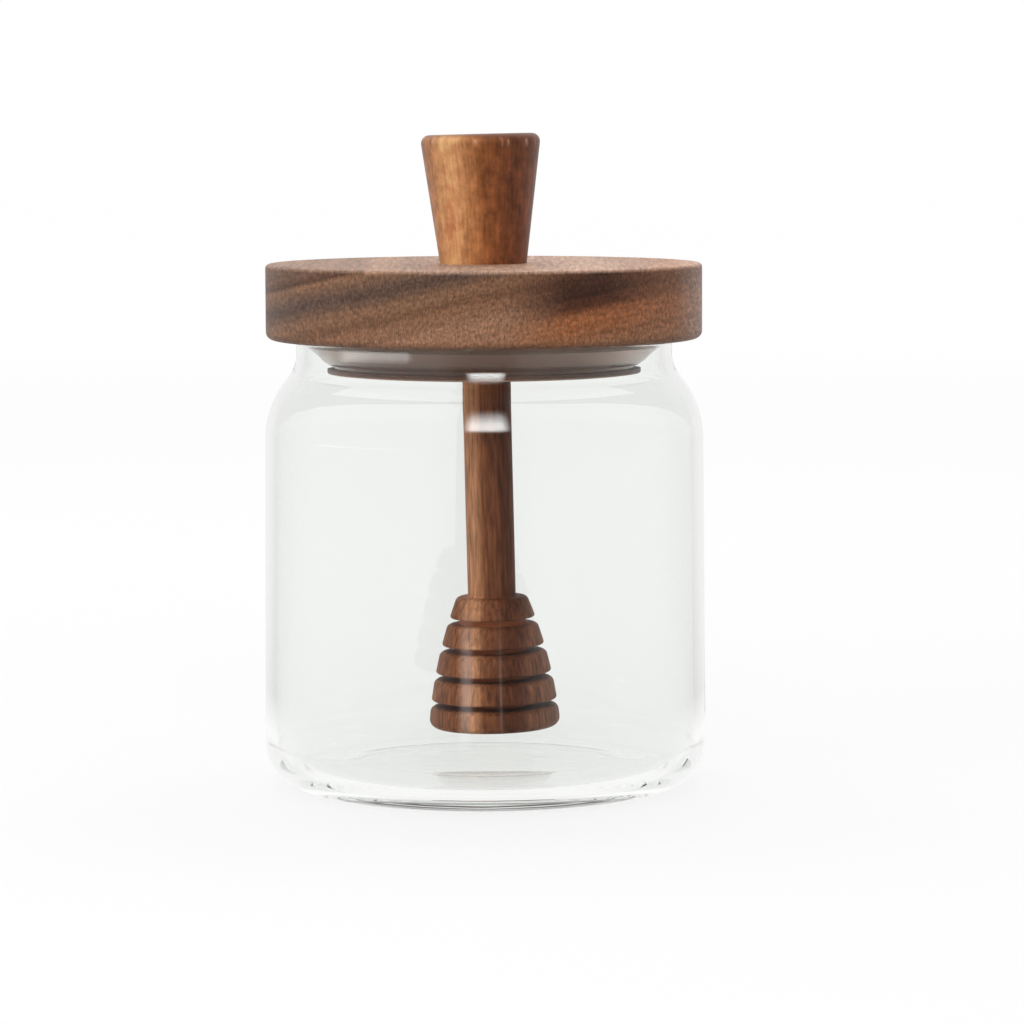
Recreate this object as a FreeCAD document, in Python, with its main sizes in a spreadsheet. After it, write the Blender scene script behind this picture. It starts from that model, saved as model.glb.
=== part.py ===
import FreeCAD, Part
import math
import os
import Sketcher

# A glass honey jar with a turned wooden lid, a silicone seal in the lid's plug,
# and a honey dipper that hangs from the lid, under a turned knob.
# The jar's axis is Z and it stands on Z = 0. All sizes are in millimetres.

doc = FreeCAD.newDocument("HoneyJar")
sheet = doc.addObject("Spreadsheet::Sheet", "size")

sizes = {
    "jar": [
        ("jarHeight", 89.3, "table to rim"),
        ("jarRadius", 44.25, "wall carried down to the table"),
        ("bodyTaper", 0.65, "how far the wall draws in by the shoulder"),
        ("neckStep", 6.2, "how far the neck stands in from the shoulder"),
        ("neckLength", 5.3, "shoulder's upper corner to rim"),
        ("shoulderRise", 8.4, "shoulder's lower corner to its upper one"),
        ("wallThickness", 2.3, "glass of the wall and neck"),
        ("floorThickness", 3.0, "glass of the floor"),
        ("baseRound", 8.4, "outer corner at the foot"),
        ("shoulderRound", 17.0, "outer curve on to the shoulder"),
        ("neckRound", 6.8, "outer curve into the neck"),
        ("rimRound", 0.9, "fire-polished rim"),
        ("footWidth", 2.4, "ring that touches the table"),
        ("pushUp", 1.2, "hollow under the floor"),
        ("pushUpSlope", 5.5, "foot ring to the flat of the hollow"),
        ("pushUpRound", 20.0, "soft corner where the flat begins"),
    ],
    "lid": [
        ("lidInset", 0.85, "lid's edge in from jarRadius"),
        ("lidThickness", 14.9, "disc alone"),
        ("lidTopRound", 0.8, "upper edge"),
        ("lidUnderRound", 1.5, "lower edge"),
        ("plugGap", 3.9, "plug's flange to the glass, bridged by the seal"),
        ("plugDepth", 7.3, "plug below the disc"),
        ("flangeThickness", 1.25, "flange that holds the seal up"),
        ("sealGrooveDepth", 2.2, "groove cut into the plug"),
        ("plugRound", 0.45, "flange's lower edge"),
        ("boreClearance", 0.15, "rod in the lid's bore, on the radius"),
    ],
    "seal": [
        ("sealWall", 1.4, "band round the plug"),
        ("sealFit", 0.05, "band to the groove"),
        ("sealGap", 0.08, "lip to the glass"),
        ("lipThickness", 0.9, "lip, measured level"),
        ("lipLand", 0.6, "height of the lip's outer edge"),
        ("lipDrop", 0.7, "lip's top below the disc"),
        ("lipFoot", 0.3, "lip's foot beyond the band"),
        ("veeFloor", 2.2, "band's foot to the bottom of the vee"),
        ("heelWall", 0.8, "band's foot, set back under the lip"),
        ("heelHeight", 0.9, "height of that set-back"),
        ("sealRound", 0.2, "lip's and foot's corners"),
    ],
    "knob": [
        ("knobHeight", 25.8, "disc to the knob's top"),
        ("knobBaseRadius", 8.6, "where it meets the disc"),
        ("knobTopRadius", 12.05, "sides carried up to the top"),
        ("knobTopRound", 1.7, "upper edge"),
        ("knobBaseRound", 0.3, "lower edge"),
        ("socketDepth", 12.0, "blind hole for the rod's end"),
        ("socketClearance", 0.05, "glue line round the rod's end"),
    ],
    "dipper": [
        ("rodRadius", 4.83, "turned rod"),
        ("dipperGap", 7.2, "head above the middle of the floor"),
        ("headCurve", 92.0, "radius of the head's long side curve"),
        ("bellyRadius", 13.57, "where that curve would be widest"),
        ("bellyDrop", 7.75, "that place below the head's foot"),
        ("ringCount", 5, "rings"),
        ("ringThickness", 4.3, "each ring"),
        ("slotWidth", 1.2, "parting cut between rings"),
        ("coreRadius", 6.6, "wood left inside the parting cuts"),
        ("ringTopRound", 1.1, "upper edge of each ring"),
        ("ringUnderRound", 0.45, "lower edge of each ring"),
        ("headBaseRound", 1.75, "lower edge of the lowest ring"),
        ("rodRootRound", 0.5, "cove where the rod leaves the head"),
    ],
}

row = 1
for section, lines in sizes.items():
    sheet.set(f"A{row}", section)
    row += 1
    for alias, value, note in lines:
        sheet.set(f"A{row}", alias)
        sheet.set(f"B{row}", str(value))
        sheet.setAlias(f"B{row}", alias)
        sheet.set(f"C{row}", note)
        row += 1
doc.recompute()

# Sizes that more than one piece is made from, as expressions on the sheet.
shoulder_radius = "(size.jarRadius - size.bodyTaper)"
neck_radius = f"({shoulder_radius} - size.neckStep)"
neck_bore = f"({neck_radius} - size.wallThickness)"
neck_foot = "(size.jarHeight - size.neckLength)"
shoulder_foot = f"({neck_foot} - size.shoulderRise)"
foot_radius = "(size.jarRadius - size.baseRound - size.footWidth)"
floor_top = "(size.floorThickness + size.pushUp)"
plug_radius = f"({neck_bore} - size.plugGap)"
groove_radius = f"({plug_radius} - size.sealGrooveDepth)"


def value(expression):
    return float(sheet.evalExpression(expression))


def new_body(label, height):
    """A body of its own, raised to the height at which the piece is seated."""
    body = doc.addObject("PartDesign::Body", label)
    body.Label = label
    body.setExpression("Placement.Base.z", height)
    return body


def corner_arc(before, corner, after, radius):
    """The arc that rounds a corner, its two tangent points, and whether it turns left."""
    way_in = (corner - before).normalize()
    way_out = (after - corner).normalize()
    turn_left = way_in.cross(way_out).z > 0
    reach = radius * math.tan(way_in.getAngle(way_out) / 2)
    start, end = corner - way_in * reach, corner + way_out * reach
    side = FreeCAD.Vector(-way_in.y, way_in.x, 0) * (radius if turn_left else -radius)
    centre = start + side
    # a sketch's arcs always run anticlockwise
    first, last = (start, end) if turn_left else (end, start)
    angles = [math.atan2(point.y - centre.y, point.x - centre.x) for point in (first, last)]
    if angles[1] < angles[0]:
        angles[1] += 2 * math.pi
    arc = Part.ArcOfCircle(Part.Circle(centre, FreeCAD.Vector(0, 0, 1), radius), *angles)
    return arc, start, end, turn_left


def half_section(body, label, corners):
    """A closed half section on the XZ plane, radius across and height up.

    corners run anticlockwise. Each is (radius, height) or (radius, height, rounding), as
    expressions on the sheet. A rounded corner keeps its point, which carries its sizes.
    """
    sketch = body.newObject("Sketcher::SketchObject", label)
    plane = next(item for item in body.Origin.OriginFeatures if item.Role == "XZ_Plane")
    sketch.AttachmentSupport = (plane, [""])
    sketch.MapMode = "FlatFace"

    def constrain(*terms, expression=None):
        number = sketch.addConstraint(Sketcher.Constraint(*terms))
        if expression:
            sketch.setExpression(f"Constraints[{number}]", expression)

    def place(geometry, vertex, radius, height):
        for kind, axis, text in (("DistanceX", -2, radius), ("DistanceY", -1, height)):
            if text == "0":
                constrain("PointOnObject", geometry, vertex, axis)
            else:
                constrain(kind, -1, 1, geometry, vertex, value(text), expression=text)

    spots = [FreeCAD.Vector(value(corner[0]), value(corner[1]), 0) for corner in corners]
    count = len(corners)
    arcs = {}
    for index, corner in enumerate(corners):
        if len(corner) == 3:
            neighbours = spots[index - 1], spots[index], spots[(index + 1) % count]
            arcs[index] = corner_arc(*neighbours, value(corner[2]))

    # the straight sides come first, so side N leaves corner N
    for index in range(count):
        following = (index + 1) % count
        start = arcs[index][2] if index in arcs else spots[index]
        end = arcs[following][1] if following in arcs else spots[following]
        sketch.addGeometry(Part.LineSegment(start, end))

    for index, corner in enumerate(corners):
        side_in, side_out = (index - 1) % count, index
        if index not in arcs:
            constrain("Coincident", side_in, 2, side_out, 1)
            place(side_out, 1, corner[0], corner[1])
            continue
        arc, _, _, turn_left = arcs[index]
        vertex_in, vertex_out = (1, 2) if turn_left else (2, 1)
        rounding = sketch.addGeometry(arc)
        constrain("Tangent", side_in, 2, rounding, vertex_in)
        constrain("Tangent", side_out, 1, rounding, vertex_out)
        constrain("Radius", rounding, value(corner[2]), expression=corner[2])
        point = sketch.addGeometry(Part.Point(spots[index]), True)
        constrain("PointOnObject", point, 1, side_in)
        constrain("PointOnObject", point, 1, side_out)
        place(point, 1, corner[0], corner[1])
    return sketch


def turn(body, label, corners):
    """A solid of revolution about Z from a closed half section."""
    sketch = half_section(body, f"{label}_section", corners)
    feature = body.newObject("PartDesign::Revolution", label)
    feature.Profile = sketch
    feature.ReferenceAxis = (sketch, ["V_Axis"])
    feature.Angle = 360
    doc.recompute()


def make_jar():
    body = new_body("glass_jar", "0")
    # The cavity keeps one wall thickness round the shoulder, so its corners drop by this much.
    lean = "atan(size.neckStep / size.shoulderRise)"
    drop = f"size.wallThickness * tan({lean} / 2)"
    flat_radius = f"({foot_radius} - size.pushUpSlope)"
    turn(body, "blown_wall", [
        ("0", "size.pushUp"),
        (flat_radius, "size.pushUp", "size.pushUpRound"),
        (foot_radius, "0"),
        ("size.jarRadius", "0", "size.baseRound"),
        (shoulder_radius, shoulder_foot, "size.shoulderRound"),
        (neck_radius, neck_foot, "size.neckRound"),
        (neck_radius, "size.jarHeight", "size.rimRound"),
        (neck_bore, "size.jarHeight", "size.rimRound"),
        (neck_bore, f"{neck_foot} - {drop}", "size.neckRound + size.wallThickness"),
        (f"{shoulder_radius} - size.wallThickness", f"{shoulder_foot} - {drop}",
         "size.shoulderRound - size.wallThickness"),
        ("size.jarRadius - size.wallThickness", "size.floorThickness",
         "size.baseRound - size.wallThickness"),
        (flat_radius, floor_top, "size.pushUpRound"),
        ("0", floor_top),
    ])
    return body


def make_lid():
    body = new_body("lid", "size.jarHeight - size.plugDepth")
    edge = "(size.jarRadius - size.lidInset)"
    top = "(size.plugDepth + size.lidThickness)"
    bore = "(size.rodRadius + size.boreClearance)"
    turn(body, "disc_and_plug", [
        (bore, "0"),
        (plug_radius, "0", "size.plugRound"),
        (plug_radius, "size.flangeThickness"),
        (groove_radius, "size.flangeThickness"),
        (groove_radius, "size.plugDepth"),
        (edge, "size.plugDepth", "size.lidUnderRound"),
        (edge, top, "size.lidTopRound"),
        (bore, top),
    ])
    return body


def make_seal():
    body = new_body("seal_ring", "size.jarHeight - size.plugDepth + size.flangeThickness")
    inside = f"({groove_radius} + size.sealFit)"
    outside = f"({inside} + size.sealWall)"
    heel = f"({inside} + size.heelWall)"
    tip = f"({neck_bore} - size.sealGap)"
    groove_height = "(size.plugDepth - size.flangeThickness)"
    lip_top = f"({groove_height} - size.lipDrop)"
    turn(body, "band_and_lip", [
        (inside, "0"),
        (heel, "0"),
        (heel, "size.heelHeight"),
        (f"{outside} + size.lipFoot", "size.heelHeight", "size.sealRound"),
        (tip, f"{lip_top} - size.lipLand", "size.sealRound"),
        (tip, lip_top, "size.sealRound"),
        (f"{tip} - size.lipThickness", lip_top, "size.sealRound"),
        (outside, "size.veeFloor", "size.sealRound"),
        (outside, groove_height),
        (inside, groove_height),
    ])
    return body


def make_knob():
    body = new_body("knob", "size.jarHeight + size.lidThickness")
    socket = "(size.rodRadius + size.socketClearance)"
    turn(body, "tapered_knob", [
        (socket, "0"),
        ("size.knobBaseRadius", "0", "size.knobBaseRound"),
        ("size.knobTopRadius", "size.knobHeight", "size.knobTopRound"),
        ("0", "size.knobHeight"),
        ("0", "size.socketDepth"),
        (socket, "size.socketDepth"),
    ])
    return body


def head_radius(height):
    """The radius of the head's long side curve, at a height above the head's foot."""
    rise = f"({height} + size.bellyDrop)"
    return f"size.bellyRadius - size.headCurve + sqrt(size.headCurve^2 - {rise}^2)"


def make_dipper():
    seat = f"({floor_top} + size.dipperGap)"
    body = new_body("dipper", seat)
    rod_top = f"size.jarHeight + size.lidThickness + size.socketDepth - {seat}"

    # Each ring is a short taper between two points of the side curve, parted down to the core.
    rings = []
    last = int(value("size.ringCount")) - 1
    for number in range(last + 1):
        foot = f"({number} * (size.ringThickness + size.slotWidth))"
        top = f"({foot} + size.ringThickness)"
        foot_round = "size.ringUnderRound" if number else "size.headBaseRound"
        rings.append((head_radius(foot), foot, foot_round))
        rings.append((head_radius(top), top, "size.ringTopRound"))
        if number < last:
            rings.append(("size.coreRadius", top))
            rings.append(("size.coreRadius", f"{top} + size.slotWidth"))

    turn(body, "rod_and_rings", [
        ("0", "0"),
        *rings,
        ("size.rodRadius", top, "size.rodRootRound"),
        ("size.rodRadius", rod_top),
        ("0", rod_top),
    ])
    return body


bodies = [make_jar(), make_lid(), make_seal(), make_knob(), make_dipper()]
doc.recompute()

for item in doc.Objects:
    if {"Invalid", "Error"} & set(item.State):
        raise RuntimeError(f"{item.Label} is {item.State}")
    if item.isDerivedFrom("Sketcher::SketchObject") and not item.FullyConstrained:
        raise RuntimeError(f"{item.Label} is not fully constrained")
for body in bodies:
    if body.Shape.isNull() or not body.Shape.isValid() or len(body.Shape.Solids) != 1:
        raise RuntimeError(f"{body.Label} is not one sound solid")

os.makedirs("parts", exist_ok=True)
for body in bodies:
    body.Shape.exportStep(f"parts/{body.Label}.step")
    box = body.Shape.optimalBoundingBox()
    print(f"{body.Label}: {body.Shape.Volume / 1000:.2f} cm3, Z {box.ZMin:.2f} to {box.ZMax:.2f}, "
          f"{box.XLength:.2f} across")
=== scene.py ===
import math

import bmesh
import bpy
from mathutils import Matrix, Vector


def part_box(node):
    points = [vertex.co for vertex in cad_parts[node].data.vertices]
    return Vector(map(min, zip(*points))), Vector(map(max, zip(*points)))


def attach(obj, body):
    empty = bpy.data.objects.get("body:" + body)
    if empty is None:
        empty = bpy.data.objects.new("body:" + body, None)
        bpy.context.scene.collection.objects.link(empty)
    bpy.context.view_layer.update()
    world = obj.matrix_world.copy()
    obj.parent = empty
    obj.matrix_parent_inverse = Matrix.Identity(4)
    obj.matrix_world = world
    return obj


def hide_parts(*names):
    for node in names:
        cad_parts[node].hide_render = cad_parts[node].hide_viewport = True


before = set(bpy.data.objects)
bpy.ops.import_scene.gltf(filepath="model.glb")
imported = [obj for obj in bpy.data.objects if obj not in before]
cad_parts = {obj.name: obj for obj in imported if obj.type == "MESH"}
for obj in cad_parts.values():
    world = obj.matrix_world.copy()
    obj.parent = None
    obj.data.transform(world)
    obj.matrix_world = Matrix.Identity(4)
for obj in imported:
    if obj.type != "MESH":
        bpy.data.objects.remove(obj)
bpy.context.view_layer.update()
print("frame loaded:", ", ".join(sorted(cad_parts)))

# Sizes are in millimetres. The frame is in metres, so meshes are scaled once they are shaped.
mm = 0.001
mergeDistance = 0.002  # of points that a full turn brings together
sharpAngle = 32  # degrees, above which an edge is shaded sharp


def span(node):
    low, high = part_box(node)
    return (high.x - low.x) / 2 / mm, low.z / mm, high.z / mm  # radius, foot, top


def tint(red, green, blue):
    # a colour as a screen shows it, 0 to 255, made linear for the shaders
    shown = [channel / 255 for channel in (red, green, blue)]
    linear = [level / 12.92 if level < 0.04045 else ((level + 0.055) / 1.055) ** 2.4 for level in shown]
    return (*linear, 1)


def stepsFrom(base, steps):
    return [base + step for step in steps]


def turnOutline(name, corners, steps, arcStep=8, lean=None):
    # corners are (radius, height) or (radius, height, rounding), anticlockwise in half section;
    # a rounding is divided about every arcStep degrees
    bm = bmesh.new()
    spots = [Vector((corner[0], 0, corner[1])) for corner in corners]
    verts = [bm.verts.new(spot) for spot in spots]
    for first, second in zip(verts, verts[1:]):
        bm.edges.new((first, second))
    if spots[0].x > 0 or spots[-1].x > 0:
        bm.edges.new((verts[-1], verts[0]))
    for index, corner in enumerate(corners):
        if len(corner) == 3:
            wayIn = spots[index] - spots[index - 1]
            wayOut = spots[(index + 1) % len(spots)] - spots[index]
            turn = wayIn.angle(wayOut)
            segments = max(3, math.ceil(math.degrees(turn) / arcStep))
            bmesh.ops.bevel(bm, geom=[verts[index]], offset=corner[2] * math.tan(turn / 2),
                            offset_type="OFFSET", affect="VERTICES", segments=segments,
                            profile=0.5, material=-1)
    bmesh.ops.spin(bm, geom=bm.verts[:] + bm.edges[:], cent=(0, 0, 0), axis=(0, 0, 1), angle=math.tau,
                   steps=steps, use_merge=True)
    bmesh.ops.remove_doubles(bm, verts=bm.verts, dist=mergeDistance)
    bmesh.ops.recalc_face_normals(bm, faces=bm.faces)
    if lean:
        bmesh.ops.rotate(bm, verts=bm.verts, cent=(0, 0, lean["height"]),
                         matrix=Matrix.Rotation(math.radians(lean["angle"]), 3, "Y"))
    bmesh.ops.transform(bm, matrix=Matrix.Scale(mm, 4), verts=bm.verts)
    mesh = bpy.data.meshes.new(name)
    bm.to_mesh(mesh)
    bm.free()
    mesh.shade_smooth()
    mesh.set_sharp_from_angle(angle=math.radians(sharpAngle))
    piece = bpy.data.objects.new(name, mesh)
    bpy.context.scene.collection.objects.link(piece)
    normals = piece.modifiers.new("flatFacesStayFlat", "WEIGHTED_NORMAL")
    normals.keep_sharp = True
    return piece


def standFor(piece, node, material):
    piece.data.materials.append(material)
    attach(piece, "root")
    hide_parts(node)
    print(f"{piece.name}: {len(piece.data.polygons)} faces")


def feed(tree, socket, value):
    if isinstance(value, bpy.types.NodeSocket):
        tree.links.new(value, socket)
    else:
        socket.default_value = value


def addNode(tree, kind, values=None, **settings):
    node = tree.nodes.new(kind)
    for name, setting in settings.items():
        setattr(node, name, setting)
    for name, value in (values or {}).items():
        feed(tree, node.inputs[name], value)
    return node


def maths(tree, operation, *terms):
    return addNode(tree, "ShaderNodeMath", dict(enumerate(terms)), operation=operation).outputs[0]


def vectors(tree, operation, *terms):
    return addNode(tree, "ShaderNodeVectorMath", dict(enumerate(terms)), operation=operation).outputs[0]


def fromAxis(tree, x, y):
    squares = [maths(tree, "MULTIPLY", one, one) for one in (x, y)]
    return maths(tree, "SQRT", maths(tree, "ADD", *squares))


def both(tree, first, second):
    # the part that two masks, each 0 to 1, have in common
    return maths(tree, "MULTIPLY", first, second)


def apart(tree, value, middle):
    return maths(tree, "ABSOLUTE", maths(tree, "SUBTRACT", value, middle))


def noise(tree, vector, scale=1.0, detail=2.0, roughness=0.5):
    return addNode(tree, "ShaderNodeTexNoise", {
        "Vector": vector, "Scale": scale, "Detail": detail, "Roughness": roughness}).outputs["Fac"]


def levels(tree, value, low, high, toLow=0.0, toHigh=1.0):
    # low to high becomes toLow to toHigh, and what is outside stays at the ends
    node = addNode(tree, "ShaderNodeMapRange", {"Value": value, "From Min": low, "From Max": high,
                                                "To Min": toLow, "To Max": toHigh}, clamp=True)
    return node.outputs["Result"]


def blendColours(tree, factor, first, second, mode="MIX"):
    return addNode(tree, "ShaderNodeMix", {0: factor, 6: first, 7: second},
                   data_type="RGBA", blend_type=mode).outputs[2]


def ramp(tree, value, stops):
    node = addNode(tree, "ShaderNodeValToRGB", {"Fac": value})
    elements = node.color_ramp.elements
    while len(elements) < len(stops):
        elements.new(1.0)
    for element, (position, colour) in zip(elements, stops):
        element.position = position
        element.color = colour
    return node.outputs["Color"]


def newGroup(name, inputs, outputs):
    tree = bpy.data.node_groups.new(name, "ShaderNodeTree")
    for label, kind, value in inputs:
        socket = tree.interface.new_socket(name=label, in_out="INPUT", socket_type=kind)
        if value is not None:
            socket.default_value = value
    for label in outputs:
        tree.interface.new_socket(name=label, in_out="OUTPUT", socket_type="NodeSocketFloat")
    return tree, tree.nodes.new("NodeGroupInput").outputs, tree.nodes.new("NodeGroupOutput").inputs


def newMaterial(name):
    material = bpy.data.materials.new(name)
    material.use_nodes = True
    tree = material.node_tree
    tree.nodes.clear()
    return material, tree, tree.nodes.new("ShaderNodeOutputMaterial")


def place(tree, location=(0, 0, 0), rotation=(0, 0, 0)):
    # object coordinates in millimetres, turned and then moved
    coordinates = tree.nodes.new("ShaderNodeTexCoord").outputs["Object"]
    return addNode(tree, "ShaderNodeMapping", {"Vector": coordinates, "Scale": (1 / mm,) * 3,
                                               "Location": location, "Rotation": rotation}).outputs[0]


# how often each kind of mark repeats, per millimetre
driftScale = (0.05, 0.05, 0.012)
rayScale = (4.6, 1.1, 1.5)


# The fibres run along the vector's Z, and the tree's heart is on its Z axis, beside the piece.
def buildWoodGrain():
    tree, given, result = newGroup("woodGrain", [
        ("Vector", "NodeSocketVector", None),
        ("Warp", "NodeSocketFloat", 2.0),          # how far the growth rings wander, mm
        ("Line Spacing", "NodeSocketFloat", 1.6),  # mm
        ("Fibre Width", "NodeSocketFloat", 0.35),  # mm
        ("Fibre Length", "NodeSocketFloat", 7.0),  # mm
    ], ["Distance", "Lines", "Fibre", "Rays"])
    drift = addNode(tree, "ShaderNodeTexNoise", {
        "Vector": vectors(tree, "MULTIPLY", given["Vector"], driftScale),
        "Scale": 1.0, "Detail": 2.0}).outputs["Color"]
    drift = vectors(tree, "SUBTRACT", drift, (0.5, 0.5, 0.5))
    warp = addNode(tree, "ShaderNodeCombineXYZ", {axis: given["Warp"] for axis in "XYZ"}).outputs[0]
    warped = vectors(tree, "ADD", given["Vector"], vectors(tree, "MULTIPLY", drift, warp))
    across, depth, along = addNode(tree, "ShaderNodeSeparateXYZ", {"Vector": warped}).outputs
    distance = fromAxis(tree, across, depth)
    lines = addNode(tree, "ShaderNodeTexNoise", {
        "W": maths(tree, "DIVIDE", distance, given["Line Spacing"]), "Scale": 1.0, "Detail": 2.0,
        "Roughness": 0.6}, noise_dimensions="1D").outputs["Fac"]
    strand = addNode(tree, "ShaderNodeCombineXYZ", {
        "X": given["Fibre Width"], "Y": given["Fibre Width"], "Z": given["Fibre Length"]}).outputs[0]
    strands = vectors(tree, "DIVIDE", warped, strand)
    fibre = noise(tree, strands, scale=0.5, detail=3.0, roughness=0.6)
    # rays run from the heart outwards: narrow round the rings, longer across them
    angle = maths(tree, "ARCTAN2", across, maths(tree, "MULTIPLY", depth, -1.0))
    arc = maths(tree, "MULTIPLY", distance, angle)
    rayCell = addNode(tree, "ShaderNodeCombineXYZ", {"X": arc, "Y": distance, "Z": along}).outputs[0]
    rays = noise(tree, vectors(tree, "MULTIPLY", rayCell, rayScale), detail=3.0, roughness=0.6)
    for label, value in (("Distance", distance), ("Lines", lines), ("Fibre", fibre), ("Rays", rays)):
        feed(tree, result[label], value)
    return tree


woodGrain = buildWoodGrain()


def grain(tree, vector, **values):
    node = tree.nodes.new("ShaderNodeGroup")
    node.node_tree = woodGrain
    feed(tree, node.inputs["Vector"], vector)
    for label, value in values.items():
        node.inputs[label].default_value = value
    return node.outputs


def shade(tree, colour, amount, value):
    # lightens or darkens a colour by a value that varies round 0.5
    return blendColours(tree, amount, colour, addNode(tree, "ShaderNodeCombineColor", {
        0: value, 1: value, 2: value}).outputs[0], "OVERLAY")


grainDepth = 0.15  # of the bump in all three woods


def woodSurface(tree, output, colour, height, roughness, specular, bump, coat=0.0):
    relief = addNode(tree, "ShaderNodeBump", {
        "Height": height, "Strength": bump, "Distance": grainDepth * mm})
    surface = addNode(tree, "ShaderNodeBsdfPrincipled", {
        "Base Color": colour, "Roughness": roughness, "Specular IOR Level": specular,
        "Coat Weight": coat, "Coat Roughness": 0.3, "Normal": relief.outputs[0]})
    tree.links.new(surface.outputs[0], output.inputs["Surface"])


jar = {
    "wall": 2.3,
    "floor": 3.0,
    "taper": 0.65,
    "neckStep": 6.2,
    "neckLength": 5.3,
    "shoulderRise": 8.4,
    "baseRound": 8.4,
    "shoulderRound": 17,
    "neckRound": 6.8,
    "rimRound": 0.9,
    "footWidth": 2.4,
    "pushUp": 1.2,
    "pushUpSlope": 5.5,
    "pushUpRound": 20,
    "waveScale": (0.09, 0.09, 0.02),  # per millimetre
    "waveDepth": 0.4,
}
jarWidest, jarFoot, jarRim = span("glass_jar")
shoulderFoot = jarRim - jar["neckLength"] - jar["shoulderRise"]
# the wall's line carried down to the table, below the round of the base
jarRadius = jarWidest + jar["taper"] * jar["baseRound"] / shoulderFoot
shoulderRadius = jarRadius - jar["taper"]
neckRadius = shoulderRadius - jar["neckStep"]
neckBore = neckRadius - jar["wall"]


def jarGlass():
    material, tree, output = newMaterial("clearGlass")
    vector = place(tree)
    # blown glass is a little uneven, more from side to side than up and down
    waves = noise(tree, vectors(tree, "MULTIPLY", vector, jar["waveScale"]), detail=1.0, roughness=0.4)
    relief = addNode(tree, "ShaderNodeBump", {
        "Height": waves, "Strength": 0.1, "Distance": jar["waveDepth"] * mm})
    surface = addNode(tree, "ShaderNodeBsdfPrincipled", {
        "Base Color": tint(250, 251, 249.6), "Roughness": 0.0, "Transmission Weight": 1.0, "IOR": 1.47,
        "Normal": relief.outputs[0]})
    clear = addNode(tree, "ShaderNodeBsdfTransparent", {"Color": (0.97, 0.975, 0.97, 1)})
    shadowRay = tree.nodes.new("ShaderNodeLightPath").outputs["Is Shadow Ray"]
    mix = addNode(tree, "ShaderNodeMixShader", {0: shadowRay, 1: surface.outputs[0], 2: clear.outputs[0]})
    tree.links.new(mix.outputs[0], output.inputs["Surface"])
    body = addNode(tree, "ShaderNodeVolumeAbsorption", {"Color": tint(232, 238, 232), "Density": 6.0})
    tree.links.new(body.outputs[0], output.inputs["Volume"])
    return material


neckFoot = jarRim - jar["neckLength"]
footRadius = jarRadius - jar["baseRound"] - jar["footWidth"]
flatRadius = footRadius - jar["pushUpSlope"]
# the cavity keeps one wall thickness round the shoulder, so its corners drop by this much
cavityDrop = jar["wall"] * math.tan(math.atan(jar["neckStep"] / jar["shoulderRise"]) / 2)
jarPiece = turnOutline("jarBlown", [
    (0, jar["pushUp"]),
    (flatRadius, jar["pushUp"], jar["pushUpRound"]),
    (footRadius, jarFoot),
    (jarRadius, jarFoot, jar["baseRound"]),
    (shoulderRadius, shoulderFoot, jar["shoulderRound"]),
    (neckRadius, neckFoot, jar["neckRound"]),
    (neckRadius, jarRim, jar["rimRound"]),
    (neckBore, jarRim, jar["rimRound"]),
    (neckBore, neckFoot - cavityDrop, jar["neckRound"] + jar["wall"]),
    (shoulderRadius - jar["wall"], shoulderFoot - cavityDrop, jar["shoulderRound"] - jar["wall"]),
    (jarRadius - jar["wall"], jar["floor"], jar["baseRound"] - jar["wall"]),
    (flatRadius, jar["floor"] + jar["pushUp"], jar["pushUpRound"]),
    (0, jar["floor"] + jar["pushUp"]),
], steps=256, arcStep=5)
standFor(jarPiece, "glass_jar", jarGlass())

lidRadius, plugFoot, lidTop = span("lid")
lid = {
    "topRound": 0.8,
    "underRound": 1.5,
    "plugGap": 3.9,
    "flange": 1.25,
    "groove": 2.2,
    "plugRound": 0.45,
    "bore": 5.3,
    "heart": (80, -400),  # the tree's heart, to the right of the lid's middle and under it
    "figure": 16,  # the colours run this far each way from the middle
    "figureChange": (4, 16),  # across the lid, from the left half's colours to the right half's
    "sheenFromTop": (-0.8, -0.1),  # from the top
    "sheenAcross": (-30, 25),
    "warmRight": (24, 36),
    "edgeSheenFrom": 37,  # from here to the lid's edge
    "shadeFromFoot": (0.25, 0.55),  # from the plug's foot
    "flangeEnd": (0.15, -0.05),  # from the flange's top
}
plugRadius = neckBore - lid["plugGap"]
grooveRadius = plugRadius - lid["groove"]


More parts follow.
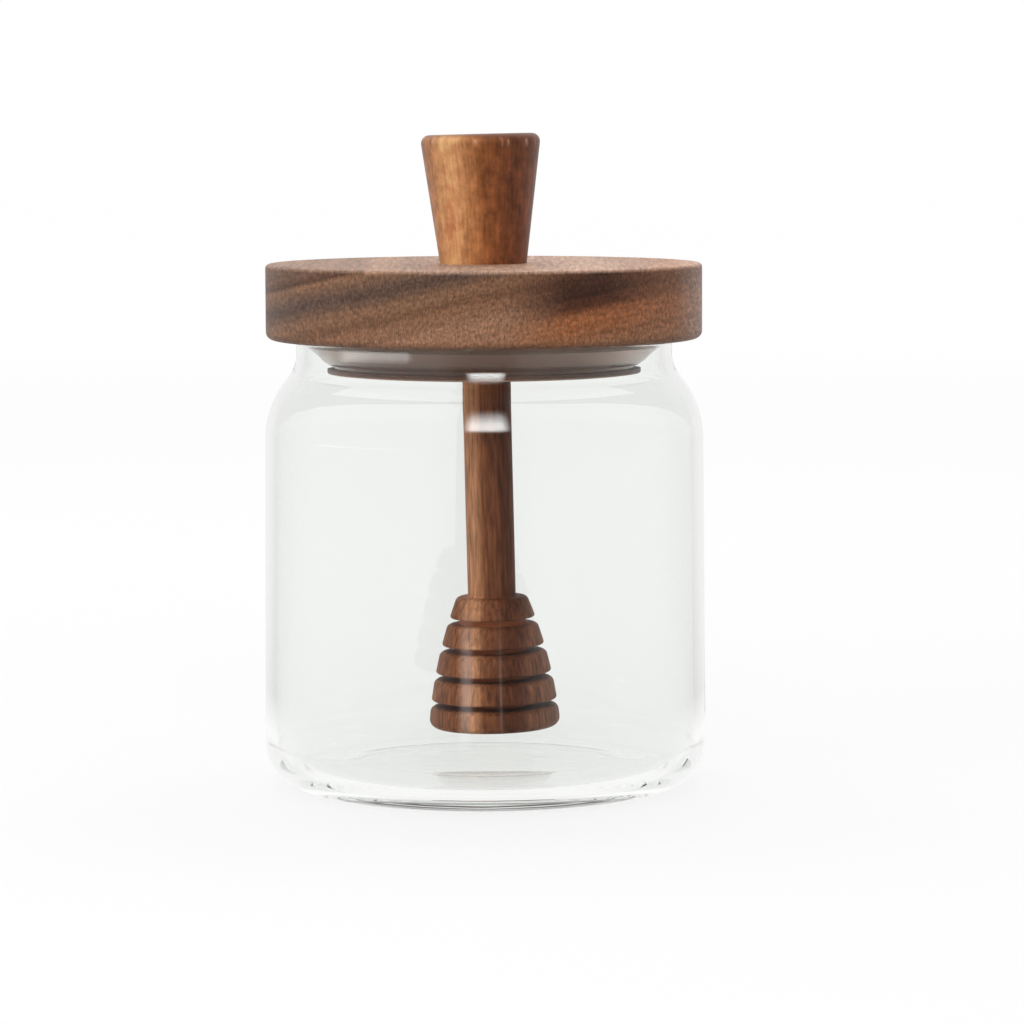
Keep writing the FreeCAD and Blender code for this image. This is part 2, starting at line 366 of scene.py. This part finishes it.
def lidWood():
    material, tree, output = newMaterial("lidWood")
    middle = (jarRim + lidTop) / 2
    across, down = lid["heart"]
    # the fibres run from the front of the lid to its back
    vector = place(tree, location=(-across, middle + down, 0), rotation=(math.radians(90), 0, 0))
    wood = grain(tree, vector, Warp=3.0)
    start = math.hypot(across, down)
    figure = levels(tree, wood["Distance"], start - lid["figure"], start + lid["figure"])
    leftFigure = ramp(tree, figure, [
        (0.20, tint(152, 108, 80)),
        (0.41, tint(160, 117, 90)),
        (0.56, tint(128, 90, 66)),
        (0.66, tint(132, 96, 72)),
        (0.73, tint(92, 70, 59)),
        (0.78, tint(97, 73, 60)),
        (0.83, tint(133, 98, 75)),
        (0.86, tint(137, 100, 75)),
        (0.89, tint(90, 60, 43)),
        (0.93, tint(115, 83, 65)),
        (1.00, tint(119, 89, 71)),
    ])
    rightFigure = ramp(tree, figure, [
        (0.00, tint(148, 116, 98)),
        (0.10, tint(148, 110, 86)),
        (0.20, tint(154, 106, 76)),
        (0.28, tint(160, 100, 64)),
        (0.35, tint(162, 101, 64)),
        (0.40, tint(96, 56, 35)),
        (0.48, tint(66, 38, 26)),
        (0.56, tint(76, 46, 33)),
        (0.63, tint(100, 66, 48)),
        (0.80, tint(128, 98, 80)),
        (1.00, tint(134, 106, 90)),
    ])
    side, _, height = addNode(tree, "ShaderNodeSeparateXYZ", {"Vector": place(tree)}).outputs
    colour = blendColours(tree, levels(tree, side, *lid["figureChange"]), leftFigure, rightFigure)
    # painted sheen: the top is painted paler, most of all on the right
    topSheen = both(tree, levels(tree, height, *stepsFrom(lidTop, lid["sheenFromTop"])),
                levels(tree, side, *lid["sheenAcross"], 0.4, 0.95))
    colour = blendColours(tree, topSheen, colour, tint(192, 156, 134))
    warm = levels(tree, side, *lid["warmRight"], 0.0, 0.5)
    colour = blendColours(tree, warm, colour, tint(168, 116, 84))
    # painted sheen: the lid's right end is painted paler towards its edge
    edge = levels(tree, side, lid["edgeSheenFrom"], lidRadius, 0.0, 0.75)
    colour = blendColours(tree, edge, colour, tint(190, 158, 142))
    colour = shade(tree, colour, 0.25, wood["Lines"])
    colour = shade(tree, colour, 0.45, levels(tree, wood["Rays"], 0.28, 0.72))
    colour = shade(tree, colour, 0.35, levels(tree, wood["Fibre"], 0.3, 0.7))
    # painted shade on the flange's side, above its paler foot edge
    flangeTop = plugFoot + lid["flange"]
    wearAndShade = levels(tree, height, *stepsFrom(plugFoot, lid["shadeFromFoot"]))
    flangeShadeColour = blendColours(tree, wearAndShade, tint(176, 142, 126), tint(74, 46, 36))
    flange = levels(tree, height, *stepsFrom(flangeTop, lid["flangeEnd"]), 0.0, 0.65)
    colour = blendColours(tree, flange, colour, flangeShadeColour)
    relief = maths(tree, "ADD", wood["Rays"], wood["Fibre"])
    woodSurface(tree, output, colour, relief, 0.5, 0.3, 0.35)
    return material


lidPiece = turnOutline("lidTurned", [
    (lid["bore"], plugFoot),
    (plugRadius, plugFoot, lid["plugRound"]),
    (plugRadius, plugFoot + lid["flange"]),
    (grooveRadius, plugFoot + lid["flange"]),
    (grooveRadius, jarRim),
    (lidRadius, jarRim, lid["underRound"]),
    (lidRadius, lidTop, lid["topRound"]),
    (lid["bore"], lidTop),
], steps=256)
standFor(lidPiece, "lid", lidWood())


# the knob and the dipper are one stick, which stands a little askew in the lid
stickLean = {"angle": -1.2, "height": 102}


def placeUpright(tree, across=0, back=0):
    # coordinates along the leaning stick, measured from its own middle line
    turn = math.radians(-stickLean["angle"])
    shift = stickLean["height"] * math.sin(turn)
    return place(tree, location=(-across - shift, -back, 0), rotation=(0, turn, 0))


_, knobFoot, knobTop = span("knob")
knob = {
    "baseRadius": 8.6,
    "topRadius": 12.05,  # where the sides would meet the top
    "topRound": 1.7,
    "sunk": 0.22,  # so that the lean neither opens a gap at the foot nor lifts the top
    "socket": 4.88,
    "socketDepth": 12,
    "heart": (-300, 20),
    "figure": 13,
    "blotchScale": (0.4, 0.4, 0.3),  # per millimetre
    "markScale": (0.75, 0.75, 0.06),
    "rim": (-1.1, -0.3),  # from the top, as the two below
    "marksFoot": (-2.9, -1.7),
    "marksTop": (-0.8, -1.5),
}


def knobWood():
    material, tree, output = newMaterial("knobWood")
    across, back = knob["heart"]
    vector = placeUpright(tree, across, back)
    wood = grain(tree, vector, **{"Warp": 4.0, "Line Spacing": 2.4, "Fibre Length": 9.0})
    start = math.hypot(across, back)
    figure = levels(tree, wood["Distance"], start - knob["figure"], start + knob["figure"])
    # besides the grain, these colours carry painted light: the knob's left is painted lighter and its
    # right darker
    colour = ramp(tree, figure, [
        (0.00, tint(132, 84, 56)),
        (0.10, tint(172, 116, 76)),
        (0.20, tint(206, 150, 100)),
        (0.32, tint(218, 162, 110)),
        (0.42, tint(184, 124, 78)),
        (0.52, tint(150, 92, 54)),
        (0.62, tint(136, 80, 46)),
        (0.72, tint(114, 66, 40)),
        (0.84, tint(122, 70, 44)),
        (1.00, tint(122, 74, 48)),
    ])
    blotchVector = vectors(tree, "MULTIPLY", vector, knob["blotchScale"])
    blotches = noise(tree, blotchVector, detail=4.0, roughness=0.62)
    colour = shade(tree, colour, 0.4, levels(tree, blotches, 0.3, 0.7))
    colour = shade(tree, colour, 0.3, levels(tree, wood["Fibre"], 0.25, 0.75))
    colour = shade(tree, colour, 0.2, wood["Lines"])
    # the rim is darker, with small worn marks just under it
    height = addNode(tree, "ShaderNodeSeparateXYZ", {"Vector": place(tree)}).outputs["Z"]
    rim = levels(tree, height, *stepsFrom(knobTop, knob["rim"]), 0.0, 0.75)
    colour = blendColours(tree, rim, colour, tint(104, 72, 62))
    marks = noise(tree, vectors(tree, "MULTIPLY", vector, knob["markScale"]), detail=1.0)
    under = both(tree, levels(tree, height, *stepsFrom(knobTop, knob["marksFoot"])),
                 levels(tree, height, *stepsFrom(knobTop, knob["marksTop"])))
    wearAndShade = both(tree, under, levels(tree, marks, 0.56, 0.68, 0.0, 0.6))
    colour = blendColours(tree, wearAndShade, colour, tint(214, 172, 146))
    woodSurface(tree, output, colour, wood["Fibre"], 0.42, 0.24, 0.3, coat=0.05)
    return material


knobPiece = turnOutline("knobTurned", [
    (knob["socket"], knobFoot - knob["sunk"]),
    (knob["baseRadius"], knobFoot - knob["sunk"]),
    (knob["topRadius"], knobTop - knob["sunk"], knob["topRound"]),
    (0, knobTop - knob["sunk"]),
    (0, knobFoot + knob["socketDepth"]),
    (knob["socket"], knobFoot + knob["socketDepth"]),
], steps=192, lean=stickLean)
standFor(knobPiece, "knob", knobWood())


_, dipperFoot, rodTop = span("dipper")
dipper = {
    "rodRadius": 4.83,
    "headCurve": 92,  # the radius of the long curve that the rings' edges follow
    "bellyRadius": 13.57,
    "bellyDrop": 7.75,
    "rings": 5,
    "ringThickness": 4.3,
    "slot": 1.2,
    "coreRadius": 6.6,
    "topRound": 1.1,
    "underRound": 0.45,
    "baseRound": 1.75,
    "rodRoot": 0.5,
    "heart": (-300, 20),
    "figure": 14,
    "lightSlotCore": (1.2, 0.4),  # from the core's radius
    "lightSlotTop": (-2.0, -3.0),  # from the head's top
}


def ringRadius(height):
    rise = height + dipper["bellyDrop"]
    return dipper["bellyRadius"] - dipper["headCurve"] + math.sqrt(dipper["headCurve"] ** 2 - rise ** 2)


headTop = dipperFoot + dipper["rings"] * (dipper["ringThickness"] + dipper["slot"]) - dipper["slot"]


def dipperWood():
    material, tree, output = newMaterial("dipperWood")
    across, back = dipper["heart"]
    vector = placeUpright(tree, across, back)
    wood = grain(tree, vector, **{
        "Warp": 1.6, "Line Spacing": 1.1, "Fibre Length": 3.6, "Fibre Width": 0.34})
    start = math.hypot(across, back)
    figure = levels(tree, wood["Distance"], start - dipper["figure"], start + dipper["figure"])
    # besides the grain, these colours carry painted light: the rod's left is painted lighter and its
    # right darker
    colour = ramp(tree, figure, [
        (0.00, tint(130, 84, 60)),
        (0.25, tint(124, 76, 50)),
        (0.34, tint(176, 124, 92)),
        (0.42, tint(174, 122, 88)),
        (0.47, tint(126, 76, 48)),
        (0.53, tint(112, 66, 42)),
        (0.60, tint(92, 52, 31)),
        (0.70, tint(82, 45, 28)),
        (0.80, tint(116, 72, 50)),
        (1.00, tint(122, 80, 58)),
    ])
    colour = shade(tree, colour, 0.18, levels(tree, wood["Lines"], 0.25, 0.75))
    colour = shade(tree, colour, 0.5, levels(tree, wood["Fibre"], 0.3, 0.7))
    # the bottoms of the slots are painted lighter, which softens their shade
    x, y, height = addNode(tree, "ShaderNodeSeparateXYZ", {"Vector": placeUpright(tree)}).outputs
    core = stepsFrom(dipper["coreRadius"], dipper["lightSlotCore"])
    slotMask = both(tree, levels(tree, fromAxis(tree, x, y), *core),
                    levels(tree, height, *stepsFrom(headTop, dipper["lightSlotTop"])))
    colour = blendColours(tree, slotMask, colour, tint(172, 104, 66))
    woodSurface(tree, output, colour, wood["Fibre"], 0.5, 0.12, 0.3)
    return material


dipperOutline = [(0, dipperFoot)]
for ring in range(dipper["rings"]):
    foot = ring * (dipper["ringThickness"] + dipper["slot"])
    top = foot + dipper["ringThickness"]
    dipperOutline += [
        (ringRadius(foot), dipperFoot + foot, dipper["underRound" if ring else "baseRound"]),
        (ringRadius(top), dipperFoot + top, dipper["topRound"]),
    ]
    if ring < dipper["rings"] - 1:
        dipperOutline += [
            (dipper["coreRadius"], dipperFoot + top),
            (dipper["coreRadius"], dipperFoot + top + dipper["slot"]),
        ]
dipperOutline += [
    (dipper["rodRadius"], dipperFoot + top, dipper["rodRoot"]),
    (dipper["rodRadius"], rodTop),
    (0, rodTop),
]
dipperPiece = turnOutline("dipperTurned", dipperOutline, steps=160, lean=stickLean)
standFor(dipperPiece, "dipper", dipperWood())


seal = {
    "wall": 1.4,
    "fit": 0.05,
    "gap": 0.08,
    "lip": 0.9,
    "lipLand": 0.6,
    "lipDrop": 0.7,
    "lipFoot": 0.3,
    "veeFloor": 2.2,
    "heelWall": 0.8,
    "heelHeight": 0.9,
    "round": 0.2,
}
_, sealFoot, _ = span("seal_ring")


def siliconeFinish():
    material, tree, output = newMaterial("clearSilicone")
    cloud = noise(tree, place(tree), scale=0.12)
    surface = addNode(tree, "ShaderNodeBsdfPrincipled", {
        "Base Color": blendColours(tree, cloud, tint(255, 228, 206), tint(246, 214, 190)),
        "Roughness": levels(tree, cloud, 0.3, 0.7, 0.16, 0.22), "Transmission Weight": 0.92, "IOR": 1.41})
    tree.links.new(surface.outputs[0], output.inputs["Surface"])
    return material


bandInside = grooveRadius + seal["fit"]
bandOutside = bandInside + seal["wall"]
lipTip = neckBore - seal["gap"]
lipTop = jarRim - seal["lipDrop"]
sealPiece = turnOutline("sealMoulded", [
    (bandInside, sealFoot),
    (bandInside + seal["heelWall"], sealFoot),
    (bandInside + seal["heelWall"], sealFoot + seal["heelHeight"]),
    (bandOutside + seal["lipFoot"], sealFoot + seal["heelHeight"], seal["round"]),
    (lipTip, lipTop - seal["lipLand"], seal["round"]),
    (lipTip, lipTop, seal["round"]),
    (lipTip - seal["lip"], lipTop, seal["round"]),
    (bandOutside, sealFoot + seal["veeFloor"], seal["round"]),
    (bandOutside, jarRim),
    (bandInside, jarRim),
], steps=192, arcStep=20)
standFor(sealPiece, "seal_ring", siliconeFinish())


def mirroredInGlass(tree):
    # a ray sent back by a mirror-like surface, straight or from inside the glass
    path = tree.nodes.new("ShaderNodeLightPath").outputs
    return both(tree, maths(tree, "GREATER_THAN", path["Glossy Depth"], 0.5),
                maths(tree, "LESS_THAN", path["Ray Depth"], studio["deepestMirror"] + 0.5))


def seenDirectly(tree):
    # by the camera, or in or through the glass
    path = tree.nodes.new("ShaderNodeLightPath").outputs
    return maths(tree, "MAXIMUM", path["Is Camera Ray"],
                 maths(tree, "MAXIMUM", path["Is Glossy Ray"], path["Is Transmission Ray"]))


studio = {
    "ambient": 0.56,
    "tableGrey": 0.17,
    "glowNear": 0.79,  # added where the table is seen, so that it meets the white backdrop
    "glowFar": 0.9,
    "glowFade": (0.2, 1.6),
    "tableRadius": 6.0,
    "deepestMirror": 3,  # rays with more bounces than this see the plain table
}
# What the glass mirrors. Angles are in radians from the front, positive to the jar's left,
# and distances are in metres from the jar's axis.
room = {
    "front": 0.1,
    "frontToSide": (0.24, 0.5),
    "side": 0.42,
    "sideToBeside": (0.9, 1.7),
    "beside": 0.64,
    "besideToBack": (2.1, 2.7),
    "back": 0.88,
    "leftStart": (0.3, 0.7),
    "leftEnd": (2.4, 2.0),
    "leftExtra": 0.1,
    "tableStart": (0.1, 0.16),  # nearer than this it is white
}
softbox = {
    "level": 10.5,
    "angle": -0.03,
    "edge": (0.24, 0.15),
    "foot": (0.41, 0.46),
    "top": (0.74, 0.54),
}
# painted reflections, which the table gives off only where the glass mirrors it
streaks = {
    "level": 1.5,
    "broad": {"angle": 0.15, "edge": (0.065, 0.02), "share": 1.0},
    "narrow": {"angle": -0.132, "edge": (0.016, 0.004), "share": 0.5},
    "near": (0.13, 0.2),
    "far": (0.45, 0.3),
}
neckBand = {
    "level": 2.6,
    "left": (0.79, 0.81),
    "back": (1.75, 1.6),
    "near": (1.5, 1.6),
    "far": (2.2, 1.9),
}


def mirroredRoom(tree, way):
    # dim in front of the jar and white behind it
    x, y, _ = addNode(tree, "ShaderNodeSeparateXYZ", {"Vector": way}).outputs
    azimuth = maths(tree, "ARCTAN2", maths(tree, "MULTIPLY", x, -1.0), maths(tree, "MULTIPLY", y, -1.0))
    turn = maths(tree, "ABSOLUTE", azimuth)
    level = levels(tree, turn, *room["frontToSide"], room["front"], room["side"])
    level = levels(tree, levels(tree, turn, *room["sideToBeside"]), 0.0, 1.0, level, room["beside"])
    level = levels(tree, levels(tree, turn, *room["besideToBack"]), 0.0, 1.0, level, room["back"])
    left = both(tree, levels(tree, azimuth, *room["leftStart"]), levels(tree, azimuth, *room["leftEnd"]))
    return azimuth, maths(tree, "ADD", level, maths(tree, "MULTIPLY", left, room["leftExtra"]))


def floorFinish():
    material, tree, output = newMaterial("paleTable")
    where = tree.nodes.new("ShaderNodeTexCoord").outputs["Object"]
    away = addNode(tree, "ShaderNodeVectorMath", {0: where}, operation="LENGTH").outputs["Value"]
    level = levels(tree, away, *studio["glowFade"], studio["glowNear"], studio["glowFar"])
    glow = addNode(tree, "ShaderNodeEmission", {
        "Strength": maths(tree, "MULTIPLY", seenDirectly(tree), level)})
    grey = studio["tableGrey"]
    matt = addNode(tree, "ShaderNodeBsdfDiffuse", {"Color": (grey, grey, grey, 1)})
    table = addNode(tree, "ShaderNodeAddShader", {0: glow.outputs[0], 1: matt.outputs[0]})
    # upright glass mirrors the table in front of the jar: the higher the spot, the further away
    azimuth, level = mirroredRoom(tree, where)
    level = levels(tree, levels(tree, away, *room["tableStart"]), 0.0, 1.0, 1.0, level)
    # painted reflections: streaks that glow on the table only where the glass mirrors it
    broad, narrow = [levels(tree, apart(tree, azimuth, line["angle"]), *line["edge"], 0.0, line["share"])
                     for line in (streaks["broad"], streaks["narrow"])]
    streak = both(tree, maths(tree, "MAXIMUM", broad, narrow), levels(tree, away, *streaks["far"]))
    streak = both(tree, streak, levels(tree, away, *streaks["near"]))
    # a painted light band that glows on the table beside the jar on its left, which the neck mirrors as a
    # painted reflection
    band = both(tree, levels(tree, azimuth, *neckBand["left"]), levels(tree, azimuth, *neckBand["back"]))
    band = both(tree, band, levels(tree, away, *neckBand["near"]))
    band = both(tree, band, levels(tree, away, *neckBand["far"]))
    paintedReflections = maths(tree, "ADD", maths(tree, "MULTIPLY", streak, streaks["level"]),
                  maths(tree, "MULTIPLY", band, neckBand["level"]))
    mirrored = addNode(tree, "ShaderNodeEmission", {"Strength": maths(tree, "ADD", level, paintedReflections)})
    mix = addNode(tree, "ShaderNodeMixShader", {
        0: mirroredInGlass(tree), 1: table.outputs[0], 2: mirrored.outputs[0]})
    tree.links.new(mix.outputs[0], output.inputs["Surface"])
    return material


def addFloor():
    bm = bmesh.new()
    bmesh.ops.create_circle(bm, cap_ends=True, radius=studio["tableRadius"], segments=64)
    mesh = bpy.data.meshes.new("table")
    bm.to_mesh(mesh)
    bm.free()
    table = bpy.data.objects.new("table", mesh)
    bpy.context.scene.collection.objects.link(table)
    mesh.materials.append(floorFinish())


def addPanel(name, azimuth, elevation, distance, width, height, radiance, aim=(0, 0, 0.07)):
    # azimuth is in degrees from the front of the jar, positive to its left
    turn, rise = math.radians(azimuth), math.radians(elevation)
    way = Vector((-math.sin(turn) * math.cos(rise), -math.cos(turn) * math.cos(rise), math.sin(rise)))
    lamp = bpy.data.lights.new(name, "AREA")
    lamp.shape = "RECTANGLE"
    lamp.size, lamp.size_y = width, height
    lamp.energy = radiance * math.pi * width * height
    panel = bpy.data.objects.new(name, lamp)
    bpy.context.scene.collection.objects.link(panel)
    panel.location = Vector(aim) + way * distance
    panel.rotation_euler = way.to_track_quat("Z", "Y").to_euler()
    panel.visible_camera = False
    panel.visible_transmission = False
    panel.visible_glossy = False  # the glass mirrors the painted room in its place


def addWorld():
    world = bpy.data.worlds.new("whiteStudio")
    bpy.context.scene.world = world
    world.use_nodes = True
    tree = world.node_tree
    tree.nodes.clear()
    way = tree.nodes.new("ShaderNodeTexCoord").outputs["Generated"]
    azimuth, level = mirroredRoom(tree, way)
    # a softbox high in front, which fades towards its top
    rise = addNode(tree, "ShaderNodeSeparateXYZ", {"Vector": way}).outputs["Z"]
    face = both(tree, levels(tree, rise, *softbox["foot"]), levels(tree, rise, *softbox["top"]))
    face = both(tree, levels(tree, apart(tree, azimuth, softbox["angle"]), *softbox["edge"]), face)
    level = maths(tree, "ADD", level, maths(tree, "MULTIPLY", face, softbox["level"]))
    path = tree.nodes.new("ShaderNodeLightPath").outputs
    white = levels(tree, path["Is Glossy Ray"], 0.0, 1.0, 1.0, level)
    strength = levels(tree, seenDirectly(tree), 0.0, 1.0, studio["ambient"], white)
    sky = addNode(tree, "ShaderNodeBackground", {"Color": (1, 1, 1, 1), "Strength": strength})
    output = tree.nodes.new("ShaderNodeOutputWorld")
    tree.links.new(sky.outputs[0], output.inputs["Surface"])


def addCamera():
    camera = {
        "lens": 146.15,
        "sensor": 36,
        "position": (0.00573, -0.8277, 0.1341),
        "pitch": 84.503,
        "roll": 0.2,
    }
    lens = bpy.data.cameras.new("camera")
    lens.lens = camera["lens"]
    lens.sensor_width = camera["sensor"]
    eye = bpy.data.objects.new("camera", lens)
    bpy.context.scene.collection.objects.link(eye)
    eye.location = camera["position"]
    eye.rotation_euler = (math.radians(camera["pitch"]), math.radians(camera["roll"]), 0)
    bpy.context.scene.camera = eye


addFloor()
addWorld()
addPanel("leftStrip", azimuth=85, elevation=0, distance=0.62, width=1.18, height=0.1, radiance=2.6,
         aim=(0, 0, 0.075))
addPanel("leftPanel", azimuth=45, elevation=30, distance=0.9, width=0.5, height=0.5, radiance=1.9)
addPanel("frontPanel", azimuth=0, elevation=34, distance=1.2, width=0.5, height=0.34, radiance=8.5)
addPanel("topPanel", azimuth=180, elevation=65, distance=0.9, width=0.9, height=0.5, radiance=3.0)
addCamera()
scene = bpy.context.scene
scene.view_settings.view_transform = "Standard"
# light goes round many times inside a thick glass foot, which is black with fewer bounces
scene.cycles.max_bounces = 40
scene.cycles.glossy_bounces = 24
scene.cycles.transmission_bounces = 32
print("stage set")
